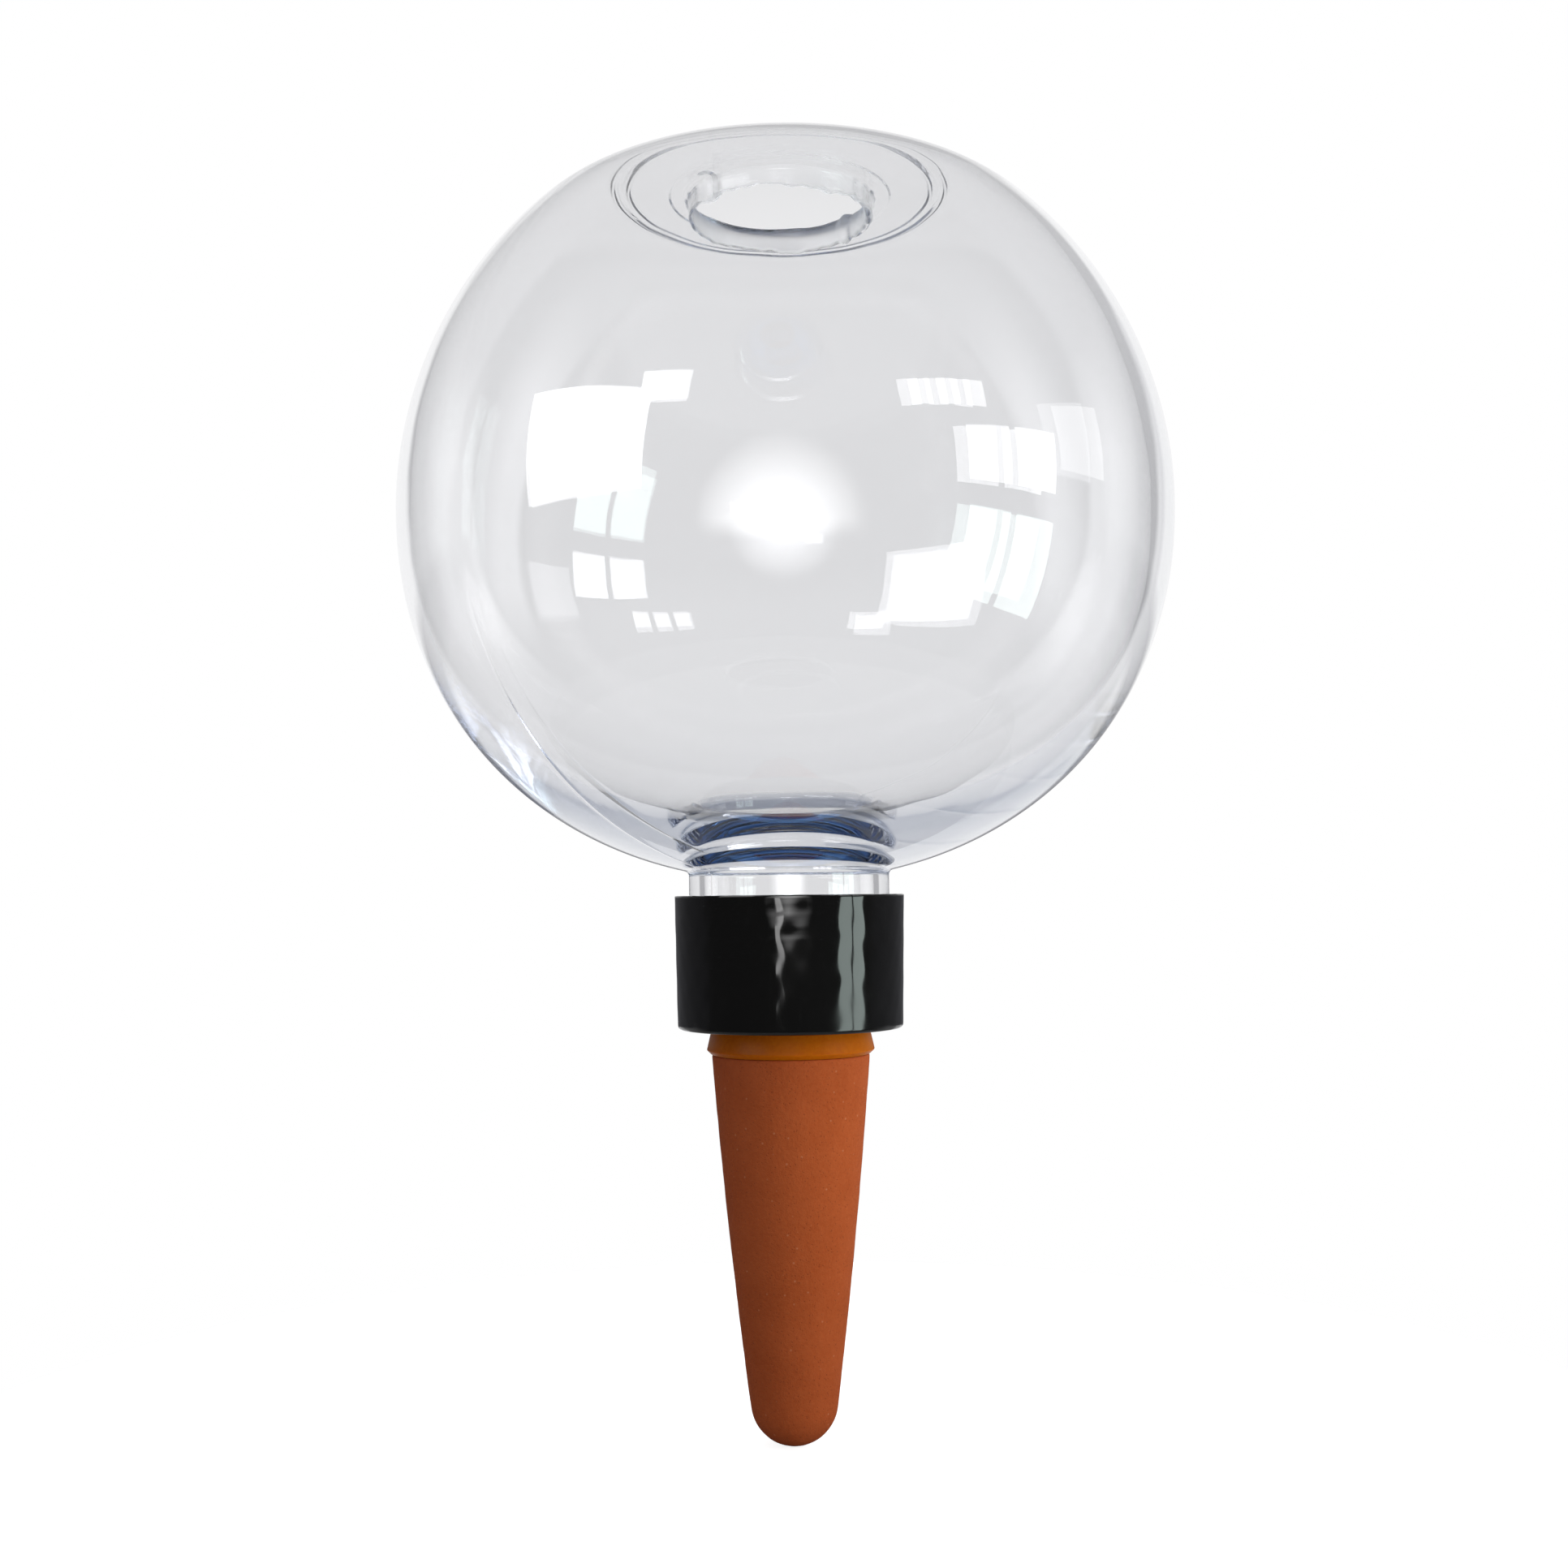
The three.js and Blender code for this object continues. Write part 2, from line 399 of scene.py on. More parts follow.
def globe_profile():
    """The blown shell's profile, and how many of its rows are on the outside."""
    outside, inside = round_skin(OUTER_SKIN), round_skin(INNER_SKIN)
    top, bottom = outside[-1, 1], inside[-1, 1]
    lip = rounded([
        (*outside[-1], 0),
        (FILLER_RADIUS, top, FILLER_EDGE),
        (FILLER_RADIUS, FILLER_LIP_END, FILLER_LIP_EDGE),
        (FILLER_RADIUS + FILLER_LIP_WALL, FILLER_LIP_END, FILLER_LIP_EDGE),
        (FILLER_RADIUS + FILLER_LIP_WALL, bottom, FILLER_LIP_FILLET),
        (*inside[-1], 0),
    ], closed=False)
    lip = divided(lip, LIP_ROW, closed=False)
    return np.concatenate([outside, lip[1:-1], inside[::-1]]), len(outside)


def globe_bottle():
    """The blown shell, with its thread, parting line, pinched weld, uneven walls and ragged filler lip."""
    profile, outer_rows = globe_profile()
    is_outer = (np.arange(len(profile)) < outer_rows)[:, None]

    def relief(radius, height, angle):
        aside = radius * np.abs(np.sin(angle - PARTING_BEARING))
        on_plate = height > PLATE_LOW
        on_body = smooth((height - COLLAR_TOP) / WAVE_RISE) * radius / GLOBE_RADIUS
        reach = (EQUATOR - height - PARTING_FAINT) / (PARTING_FULL - PARTING_FAINT)
        parting = PARTING_HEIGHT * smooth(reach) * bell(aside / PARTING_WIDTH) * is_outer
        weld = on_plate * smooth((WELD_END - radius) / WELD_FADE) * bell(aside / WELD_WIDTH)
        beads = sum(bell((radius - middle) / BEAD_WIDTH) for middle in BEAD_RADII)
        near_cut = on_plate * smooth((FILLER_RADIUS + CUT_REACH - radius) / CUT_REACH)
        lip_end = smooth((FILLER_LIP_END + FILLER_LIP_EDGE - height) / FILLER_LIP_EDGE)
        ragged = (CUT_ROUGHNESS + FILLER_LIP_RAGGED * lip_end) * waves(CUT_WAVES, height, angle)
        ridge = thread_ridge(height, angle, NECK_THREAD_START, NECK_THREAD_TURNS)
        on_neck = is_outer & (height < COLLAR_TOP)
        wave = waves(WALL_WAVES, height, angle)
        drift = np.where(is_outer, OUTER_WAVE * wave, INNER_WAVE * wave + WALL_DRIFT * np.cos(angle))
        return (
            np.where(on_neck, THREAD_DEPTH * ridge, parting)
            + WELD_HEIGHT * weld
            + BEAD_HEIGHT * beads * is_outer * on_plate
            + ragged * near_cut
            + on_body * drift
        )

    fine = SEAM_STEPS / GLOBE_RADIUS
    fine = np.concatenate([[0], fine, -fine])
    seams = [PARTING_BEARING + turn + fine for turn in (0, math.pi)]
    angles = np.unique(np.mod(np.concatenate([columns(GLOBE_COLUMNS), *seams]), math.tau))
    return turned("globe_shell", profile, angles, relief)


def screw_collar():
    """Collar with rounded edges, the thread in its bore, and faint sink and shrink marks outside."""
    profile = rounded([
        (LEDGE_HOLE, COLLAR_FOOT, LEDGE_EDGE),
        (COLLAR_RADIUS - COLLAR_DRAFT, COLLAR_FOOT, COLLAR_FOOT_EDGE),
        (COLLAR_RADIUS, COLLAR_TOP, COLLAR_TOP_EDGE),
        (COLLAR_BORE, COLLAR_TOP, COLLAR_MOUTH_EDGE),
        (COLLAR_BORE, LEDGE_TOP, COLLAR_CORNER),
        (LEDGE_HOLE, LEDGE_TOP, LEDGE_EDGE),
    ])

    def relief(radius, height, angle):
        ridge = thread_ridge(height, angle, COLLAR_THREAD_START, COLLAR_THREAD_TURNS)
        in_bore = np.isclose(radius, COLLAR_BORE)
        outside = radius > COLLAR_BORE + COLLAR_WALL / 2
        column_stray = SHRINK_COLUMN_STRAY * np.sin(SHRINK_COLUMN_STRAYS * angle)
        row_stray = SHRINK_ROW_STRAY * np.sin(SHRINK_ROW_STRAYS * angle)
        across = np.sin(SHRINK_COLUMNS * angle + column_stray)
        along = np.sin(math.tau * height / SHRINK_ROW + row_stray)
        shrunk = SHRINK_DEPTH * across * along * outside
        return ridge * (THREAD_DEPTH * in_bore - THREAD_SINK * outside) + shrunk

    return turned("collar_moulding", divided(profile, COLLAR_ROW), columns(COLLAR_COLUMNS), relief)


def seal_bush():
    """Rubber bush with a flange on the ledge and a skirt that flares down to a soft lip."""
    profile = rounded([
        (BUSH_BORE, BUSH_FOOT, BUSH_BORE_EDGE),
        (SLEEVE_RADIUS, BUSH_FOOT, SKIRT_EDGE),
        (BUSH_LIP_RADIUS, BUSH_LIP_HEIGHT, BUSH_LIP_EDGE),
        (SLEEVE_RADIUS, COLLAR_FOOT, SKIRT_FILLET),
        (SLEEVE_RADIUS, LEDGE_TOP, SLEEVE_FILLET),
        (FLANGE_RADIUS, LEDGE_TOP, BUSH_FLANGE_EDGE),
        (FLANGE_RADIUS, STAKE_FLANGE_BOTTOM, BUSH_FLANGE_EDGE),
        (BUSH_BORE, STAKE_FLANGE_BOTTOM, BUSH_BORE_EDGE),
    ])
    return turned("bush_rubber", divided(profile, PLAIN_ROW), columns(SEAL_COLUMNS))


def neck_washer():
    """Flat washer with softened edges, over the stake's flange up to its hollow."""
    profile = rounded([
        (MOUTH_RADIUS, WASHER_BOTTOM, WASHER_EDGE),
        (WASHER_RADIUS, WASHER_BOTTOM, WASHER_EDGE),
        (WASHER_RADIUS, WASHER_TOP, WASHER_EDGE),
        (MOUTH_RADIUS, WASHER_TOP, WASHER_EDGE),
    ])
    return turned("washer_rubber", divided(profile, PLAIN_ROW), columns(SEAL_COLUMNS))


def taper_to_ball(radius, height, ball_radius, lowest, bulge):
    """A side that tapers, bulges a little and runs into a ball end on the axis."""
    ball_height = lowest + ball_radius
    lean = math.atan((radius - ball_radius + 4 * bulge) / (height - ball_height))
    join = np.array([ball_radius * math.cos(lean), ball_height - ball_radius * math.sin(lean)])
    start = np.array([radius, height])
    side = curve(start, (start + join) / 2 + (2 * bulge, 0), join, STAKE_ROWS)
    ball = np.linspace(-lean, -math.pi / 2, CURVE_ROWS + 1)[1:]
    end = rows_of(ball_radius * np.cos(ball), ball_height + ball_radius * np.sin(ball))
    end[-1, 0] = 0
    return np.concatenate([side, end])


def terracotta_stake():
    """Fired clay stake: tapered outside, shoulder, spigot and flange, hollow inside, with a grainy skin."""
    outside = taper_to_ball(SHOULDER_RADIUS, 0, TIP_RADIUS, STAKE_TIP, STAKE_BULGE)[::-1]
    hollow = taper_to_ball(
        MOUTH_RADIUS, STAKE_FLANGE_TOP, TIP_RADIUS - STAKE_WALL, STAKE_TIP + STAKE_WALL, 0,
    )
    head = rounded([
        (*outside[-JOIN_ROWS], 0),
        (SHOULDER_RADIUS, 0, CLAY_EDGE),
        (SPIGOT_RADIUS, 0, CLAY_EDGE),
        (SPIGOT_RADIUS, STAKE_FLANGE_BOTTOM, CLAY_EDGE),
        (FLANGE_RADIUS, STAKE_FLANGE_BOTTOM, CLAY_EDGE),
        (FLANGE_RADIUS, STAKE_FLANGE_TOP, CLAY_EDGE),
        (MOUTH_RADIUS, STAKE_FLANGE_TOP, CLAY_EDGE),
        (*hollow[JOIN_ROWS], 0),
    ], closed=False)
    head = divided(head, PLAIN_ROW, closed=False)
    profile = np.concatenate([outside[:-JOIN_ROWS], head, hollow[JOIN_ROWS + 1:]])

    def relief(radius, height, angle):
        points = np.stack([radius * np.cos(angle), radius * np.sin(angle), height], axis=-1)
        lumps = [noise.noise(Vector(point)) for point in points.reshape(-1, 3) / CLAY_LUMP]
        grain = [noise.noise(Vector(point)) for point in points.reshape(-1, 3) / CLAY_GRAIN]
        rough = np.array(lumps) + GRAIN_SHARE * np.array(grain)
        return CLAY_RELIEF * rough.reshape(radius.shape)

    return turned("stake_clay", profile, columns(STAKE_COLUMNS), relief, closed=False)


# Colour sockets of a Mix node, and the range of a mask
MIX_SHARE, MIX_FIRST, MIX_SECOND = 0, 6, 7
MIX_RESULT = 2
WHOLE = (0.0, 1.0)


def add_node(tree, kind, sockets=None, **settings):
    """Adds a node, sets it up and fills its sockets with values or links."""
    made = tree.nodes.new("ShaderNode" + kind)
    for name, value in settings.items():
        setattr(made, name, value)
    for name, value in (sockets or {}).items():
        if isinstance(value, bpy.types.NodeSocket):
            tree.links.new(value, made.inputs[name])
        else:
            made.inputs[name].default_value = value
    return made


def maths(tree, operation, *values):
    """A number worked out from others."""
    return add_node(tree, "Math", dict(enumerate(values)), operation=operation).outputs["Value"]


def vector_maths(tree, operation, *values):
    """A vector worked out from others, or its length."""
    made = add_node(tree, "VectorMath", dict(enumerate(values)), operation=operation)
    return made.outputs["Value" if operation == "LENGTH" else "Vector"]


def speckle(tree, place, scale, detail=3, roughness=0.6):
    """Noise over the surface, in the piece's own frame."""
    sockets = {"Vector": place, "Scale": scale, "Detail": detail, "Roughness": roughness}
    return add_node(tree, "TexNoise", sockets).outputs["Fac"]


def cells(tree, place, scale):
    """Distance to the middle of the nearest of many small cells."""
    return add_node(tree, "TexVoronoi", {"Vector": place, "Scale": scale}).outputs["Distance"]


def spread(tree, value, span, to=WHOLE):
    """A value taken from one range to another."""
    sockets = {"Value": value, "From Min": span[0], "From Max": span[1], "To Min": to[0], "To Max": to[1]}
    return add_node(tree, "MapRange", sockets).outputs["Result"]


def tint(tree, share, first, second):
    """Two colours mixed by a share."""
    sockets = {MIX_SHARE: share, MIX_FIRST: first, MIX_SECOND: second}
    return add_node(tree, "Mix", sockets, data_type="RGBA").outputs[MIX_RESULT]


def faded(tree, value, span, first, second):
    """One colour that turns into another as a value crosses a span."""
    return tint(tree, spread(tree, value, span), first, second)


def group(name, inputs, outputs):
    """An empty node group with float inputs and outputs."""
    tree = bpy.data.node_groups.new(name, "ShaderNodeTree")
    for socket in inputs:
        tree.interface.new_socket(socket, in_out="INPUT", socket_type="NodeSocketFloat")
    for socket in outputs:
        tree.interface.new_socket(socket, in_out="OUTPUT", socket_type="NodeSocketFloat")
    return tree, tree.nodes.new("NodeGroupInput").outputs, tree.nodes.new("NodeGroupOutput").inputs


# Handling marks: scales are counts per metre, spans are the part of a noise that shows
SMUDGE_SCALE = 70
SMUDGE_SPAN = (0.5, 0.75)
SCUFF_SCALE = 1500
SCUFF_SPAN = (0.62, 0.8)
SCUFF_DRAWN = (1, 1, 0.06)
RIPPLE_SCALE = 120


def handling_marks():
    """Node group for polished plastic: smudges and fine scuffs as Roughness, a slow ripple as Height."""
    tree, given, result = group("handling_marks", ["Polish", "Dulled"], ["Roughness", "Height"])
    place = add_node(tree, "TexCoord").outputs["Object"]
    smudge = spread(tree, speckle(tree, place, SMUDGE_SCALE), SMUDGE_SPAN)
    drawn = add_node(tree, "Mapping", {"Vector": place, "Scale": SCUFF_DRAWN}).outputs["Vector"]
    scuff = spread(tree, speckle(tree, drawn, SCUFF_SCALE, detail=2), SCUFF_SPAN)
    marks = maths(tree, "MAXIMUM", smudge, scuff)
    rough = spread(tree, marks, WHOLE, (given["Polish"], given["Dulled"]))
    tree.links.new(rough, result["Roughness"])
    tree.links.new(speckle(tree, place, RIPPLE_SCALE, detail=1), result["Height"])
    return tree


# Fine grain: pores are open near the middle of each cell
GRAIN_SPAN = (0.3, 0.7)
PORE_SPAN = (0.22, 0.1)


def fine_grain():
    """Node group for matt surfaces: a Grain mask from 0 to 1, a Pores mask, and both together as Height."""
    tree, given, result = group("fine_grain", ["Scale"], ["Grain", "Pores", "Height"])
    place = add_node(tree, "TexCoord").outputs["Object"]
    grain = spread(tree, speckle(tree, place, given["Scale"], detail=4, roughness=0.7), GRAIN_SPAN)
    pores = spread(tree, cells(tree, place, given["Scale"]), PORE_SPAN)
    height = maths(tree, "SUBTRACT", grain, pores)
    for name, value in (("Grain", grain), ("Pores", pores), ("Height", height)):
        tree.links.new(value, result[name])
    return tree


HANDLING_MARKS = handling_marks()
FINE_GRAIN = fine_grain()


def new_finish(name, sockets):
    """A material with one Principled shader, whose plain sockets are set here."""
    finish = bpy.data.materials.new(name)
    finish.use_nodes = True
    tree = finish.node_tree
    shader = tree.nodes["Principled BSDF"]
    for socket, value in sockets.items():
        shader.inputs[socket].default_value = value
    return finish, tree, shader


def raise_skin(tree, shader, height, distance, strength):
    """Fine relief of a finish, through a Bump node."""
    bump = add_node(tree, "Bump", {"Height": height, "Distance": distance, "Strength": strength})
    tree.links.new(bump.outputs["Normal"], shader.inputs["Normal"])


# Clear plastic: polished, and matt at the cut of the filler hole
CLEAR_TINT = (0.95, 0.95, 0.955, 1)
CLEAR_SHADOW = (0.9, 0.91, 0.92, 1)
CLEAR_DEPTH = (0.09, 0.17, 0.33, 1)
CLEAR_DENSITY = 9
CLEAR_MARKS = {"Polish": 0.0, "Dulled": 0.05}
CLEAR_RIPPLE = 0.05 * MM
CUT_MATT = 0.6
MATT_REACH = 0.5 * MM


def clear_plastic():
    """Clear blown plastic, faintly blue-grey where it is thick and matt where the filler hole is cut."""
    finish, tree, shader = new_finish(
        "clear_plastic", {"Base Color": CLEAR_TINT, "Transmission Weight": 1, "IOR": 1.54},
    )
    marks = add_node(tree, "Group", CLEAR_MARKS, node_tree=HANDLING_MARKS).outputs
    place = add_node(tree, "TexCoord").outputs["Object"]
    radius = vector_maths(tree, "LENGTH", vector_maths(tree, "MULTIPLY", place, (1, 1, 0)))
    height = add_node(tree, "SeparateXYZ", {"Vector": place}).outputs["Z"]
    on_crown = spread(tree, height, (EQUATOR, PLATE_LOW))
    at_cut = spread(tree, radius, (FILLER_RADIUS + MATT_REACH, FILLER_RADIUS), (0, CUT_MATT))
    matt = maths(tree, "MULTIPLY", on_crown, at_cut)
    tree.links.new(maths(tree, "MAXIMUM", matt, marks["Roughness"]), shader.inputs["Roughness"])
    raise_skin(tree, shader, marks["Height"], CLEAR_RIPPLE, strength=0.3)
    shadow = add_node(tree, "BsdfTransparent", {"Color": CLEAR_SHADOW})
    rays = add_node(tree, "LightPath").outputs
    surface = add_node(tree, "MixShader", {"Fac": rays["Is Shadow Ray"]})
    tree.links.new(shader.outputs["BSDF"], surface.inputs[1])
    tree.links.new(shadow.outputs["BSDF"], surface.inputs[2])
    depth = add_node(tree, "VolumeAbsorption", {"Color": CLEAR_DEPTH, "Density": CLEAR_DENSITY})
    out = tree.nodes["Material Output"].inputs
    tree.links.new(surface.outputs["Shader"], out["Surface"])
    tree.links.new(depth.outputs["Volume"], out["Volume"])
    return finish


# Black plastic of the collar
BLACK = (0.003, 0.003, 0.003, 1)
BLACK_MARKS = {"Polish": 0.06, "Dulled": 0.2}
BLACK_RIPPLE = 0.12 * MM


def black_plastic():
    """Gloss black moulding with handling marks."""
    finish, tree, shader = new_finish("black_plastic", {"Base Color": BLACK, "IOR": 1.5})
    marks = add_node(tree, "Group", BLACK_MARKS, node_tree=HANDLING_MARKS).outputs
    tree.links.new(marks["Roughness"], shader.inputs["Roughness"])
    raise_skin(tree, shader, marks["Height"], BLACK_RIPPLE, strength=0.8)
    return finish


# Rubber of the bush and of the washer
AMBER_DEEP = (0.39, 0.088, 0.001, 1)
AMBER_PALE = (0.46, 0.112, 0.002, 1)
AMBER_GLOW = (1, 0.35, 0.05)
AMBER_GLOW_DEPTH = 1.5 * MM
AMBER_SCALE = 1400
AMBER_ROUGHNESS = (0.3, 0.42)
AMBER_RELIEF = 0.02 * MM
BLUE_DEEP = (0.14, 0.3, 0.62, 1)
BLUE_PALE = (0.18, 0.36, 0.72, 1)
BLUE_SCALE = 1100
BLUE_ROUGHNESS = (0.45, 0.6)
BLUE_RELIEF = 0.05 * MM


def amber_rubber():
    """Translucent amber rubber with a satin skin."""
    finish, tree, shader = new_finish("amber_rubber", {
        "Subsurface Weight": 0.3, "Subsurface Radius": AMBER_GLOW, "Subsurface Scale": AMBER_GLOW_DEPTH,
        "Specular IOR Level": 0.04,
    })
    grain = add_node(tree, "Group", {"Scale": AMBER_SCALE}, node_tree=FINE_GRAIN).outputs
    tree.links.new(tint(tree, grain["Grain"], AMBER_DEEP, AMBER_PALE), shader.inputs["Base Color"])
    tree.links.new(spread(tree, grain["Grain"], WHOLE, AMBER_ROUGHNESS), shader.inputs["Roughness"])
    raise_skin(tree, shader, grain["Height"], AMBER_RELIEF, strength=0.3)
    return finish


def blue_rubber():
    """Soft blue rubber of the washer."""
    finish, tree, shader = new_finish("blue_rubber", {"IOR": 1.43})
    grain = add_node(tree, "Group", {"Scale": BLUE_SCALE}, node_tree=FINE_GRAIN).outputs
    tree.links.new(tint(tree, grain["Grain"], BLUE_DEEP, BLUE_PALE), shader.inputs["Base Color"])
    tree.links.new(spread(tree, grain["Grain"], WHOLE, BLUE_ROUGHNESS), shader.inputs["Roughness"])
    raise_skin(tree, shader, grain["Height"], BLUE_RELIEF, strength=0.4)
    return finish


# Terracotta: each layer of colour, its scale and how much of it shows
CLAY_DARK = (0.35, 0.064, 0.013, 1)
CLAY_LIGHT = (0.4, 0.079, 0.019, 1)
CLAY_DUST = (0.46, 0.12, 0.04, 1)
CLAY_SPECK = (0.55, 0.22, 0.11, 1)
# Painted shade: the pores, which the relief sinks, are coloured darker as the shade inside them
CLAY_PORE_SHADE = (0.15, 0.03, 0.01, 1)
MOTTLE_SCALE = 120
MOTTLE_SPAN = (0.35, 0.65)
DUST_SHARE = (0.0, 0.3)
SPECK_SCALE = 620
SPECK_SPAN = (0.12, 0.04)
SPECK_SHARE = (0.0, 0.5)
PORE_SHADE_SHARE = (0.0, 0.35)
CLAY_SCALE = 1900
CLAY_ROUGHNESS = (0.82, 0.95)
CLAY_SKIN = 0.1 * MM


def terracotta():
    """Unglazed fired clay: mottled, with a fine grain, a few pale specks, and open pores painted darker as
    the shade inside them.
    """
    finish, tree, shader = new_finish("terracotta", {"Specular IOR Level": 0.1})
    place = add_node(tree, "TexCoord").outputs["Object"]
    grain = add_node(tree, "Group", {"Scale": CLAY_SCALE}, node_tree=FINE_GRAIN).outputs
    mottle = spread(tree, speckle(tree, place, MOTTLE_SCALE, detail=4), MOTTLE_SPAN)
    dust = spread(tree, grain["Grain"], WHOLE, DUST_SHARE)
    specks = spread(tree, cells(tree, place, SPECK_SCALE), SPECK_SPAN, SPECK_SHARE)
    # Painted shade: darker colour in the sunken pores
    pores = spread(tree, grain["Pores"], WHOLE, PORE_SHADE_SHARE)
    clay = tint(tree, mottle, CLAY_DARK, CLAY_LIGHT)
    for share, colour in ((dust, CLAY_DUST), (specks, CLAY_SPECK), (pores, CLAY_PORE_SHADE)):
        clay = tint(tree, share, clay, colour)
    tree.links.new(clay, shader.inputs["Base Color"])
    tree.links.new(spread(tree, grain["Grain"], WHOLE, CLAY_ROUGHNESS), shader.inputs["Roughness"])
    raise_skin(tree, shader, grain["Height"], CLAY_SKIN, strength=0.5)
    return finish


def dress(piece, body, node, finish):
    """Puts a piece in the place of its solid, on that solid's body and with its finish."""
    piece.data.materials.append(finish)
    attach(piece, body)
    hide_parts(node)


dress(globe_bottle(), "globe", "globe_bottle", clear_plastic())
dress(screw_collar(), "collar", "screw_collar", black_plastic())
dress(seal_bush(), "stake_set", "seal_bush", amber_rubber())
dress(terracotta_stake(), "stake_set", "terracotta_stake", terracotta())
dress(neck_washer(), "stake_set", "neck_washer", blue_rubber())


# Room: a white wall behind (+Y), lit sides, a dim front with a paler ceiling, and a fill from the right
WHITE = (1, 1, 1, 1)
WALL_SEEN = (0.95, 0.95, 0.955, 1)
SIDE_LIT = (2, 2, 2, 1)
SIDE_DIM = (0.45, 0.45, 0.46, 1)
SIDE_FAR = (0.55, 0.55, 0.56, 1)
CEILING_LIT = (0.45, 0.45, 0.45, 1)
ROOM_DIM = (0.08, 0.08, 0.08, 1)
SKIRTING_DIM = (0.12, 0.12, 0.13, 1)
FILL_LEFT = (0.3, 0.3, 0.3, 1)
FILL_RIGHT = (0.95, 0.95, 0.95, 1)

# Where one part of the room turns into the next, as spans of a direction's X, Y or Z
WALL_FROM_Y = (0.75, 0.79)
DIM_FROM_Y = (0.35, 0.6)
SIDES_FROM_Y = (0.15, 0.2)
SOFT_FROM_Y = (0.0, 0.5)
SKIRTING_FROM_Y = (-0.1, 0.1)
SKIRTING_OVER_Z = (0.0, 0.06)
SKIRTING_UNDER_Z = (-0.1, -0.16)
FAR_OVER_Z = (0.25, 0.5)
FAR_UNDER_Z = (-0.35, -0.65)
FAR_FROM_RISE = (0.2, 0.5)
CEILING_OVER_Z = (0.1, 0.35)
FILL_OVER_X = (-0.8, 0.8)


def white_room():
    """World: plain white to the eye, also through clear walls; what reflects shows the room around."""
    world = bpy.data.worlds.new("white_room")
    world.use_nodes = True
    tree = world.node_tree
    rays = add_node(tree, "LightPath").outputs
    direction = add_node(tree, "TexCoord").outputs["Generated"]
    toward = add_node(tree, "SeparateXYZ", {"Vector": direction}).outputs
    wall = spread(tree, toward["Y"], WALL_FROM_Y)
    dim = faded(tree, maths(tree, "ABSOLUTE", toward["Z"]), FAR_FROM_RISE, SIDE_DIM, SIDE_FAR)

    # Mirrored once inside a clear wall
    lit = faded(tree, toward["Z"], FAR_OVER_Z, SIDE_LIT, SIDE_FAR)
    lit = faded(tree, toward["Z"], FAR_UNDER_Z, lit, SIDE_FAR)
    sides = faded(tree, toward["Y"], DIM_FROM_Y, lit, dim)
    sides = tint(tree, wall, sides, WALL_SEEN)
    front = faded(tree, toward["Z"], CEILING_OVER_Z, ROOM_DIM, CEILING_LIT)
    room = faded(tree, toward["Y"], SIDES_FROM_Y, front, sides)
    once = maths(tree, "COMPARE", rays["Glossy Depth"], 1.0, 0.5)
    through = tint(tree, once, WALL_SEEN, room)

    # Mirrored on the outside of a piece
    soft_room = faded(tree, toward["Y"], SOFT_FROM_Y, ROOM_DIM, dim)
    soft_room = tint(tree, wall, soft_room, WALL_SEEN)
    over = spread(tree, toward["Z"], SKIRTING_OVER_Z)
    under = spread(tree, toward["Z"], SKIRTING_UNDER_Z)
    skirting = faded(tree, toward["Y"], SKIRTING_FROM_Y, ROOM_DIM, SKIRTING_DIM)
    mirrored = tint(tree, maths(tree, "ADD", over, under), skirting, soft_room)

    fill = faded(tree, toward["X"], FILL_OVER_X, FILL_LEFT, FILL_RIGHT)
    colour = tint(tree, rays["Is Glossy Ray"], fill, mirrored)
    colour = tint(tree, rays["Is Transmission Ray"], colour, through)
    colour = tint(tree, rays["Is Camera Ray"], colour, WHITE)
    tree.links.new(colour, tree.nodes["Background"].inputs["Color"])
    scene.world = world


# Lamps: windows at one distance from the globe, a soft lamp at the camera, and a spot over the filler hole
GLOBE_CENTRE = Vector((0, 0, EQUATOR))
WATTS_PER_RADIANCE = 4
WINDOW_DISTANCE = 0.9
PANE_BAR = 0.03
DOOR_COLOUR = (0.85, 1, 0.95)
GLOW_PLACE = (-4 * MM, -250 * MM, 65 * MM)
GLOW_TURN = Quaternion((1, 0, 0), math.pi / 2)
GLOW_SIZE = (0.2, 0.12)
GLOW_MIDDLE = (0.5, 0.133, 0)
GLOW_FADE = (0.0, 0.2)
GLOW_REACH = (0.1, 0.0)
GLOW_RADIANCE = 6
SPOT_HEIGHT = 0.9
SPOT_ANGLE = math.radians(1.7)
SPOT_BLEND = 0.2
SPOT_POWER = 14


def flat_lamp(name, size, radiance):
    """A rectangular lamp, whose power follows from its radiance."""
    lamp = bpy.data.lights.new(name, "AREA")
    lamp.shape = "RECTANGLE"
    lamp.size, lamp.size_y = size
    lamp.energy = WATTS_PER_RADIANCE * radiance * size[0] * size[1]
    return lamp


def hang(lamp, place, turn=Quaternion(), diffuse=True, glossy=True):
    """Hangs a lamp, out of the camera's sight; it points down unless it is turned."""
    holder = bpy.data.objects.new(lamp.name, lamp)
    holder.location = place
    holder.rotation_mode = "QUATERNION"
    holder.rotation_quaternion = turn
    holder.visible_camera = False
    holder.visible_diffuse = diffuse
    holder.visible_glossy = glossy
    scene.collection.objects.link(holder)


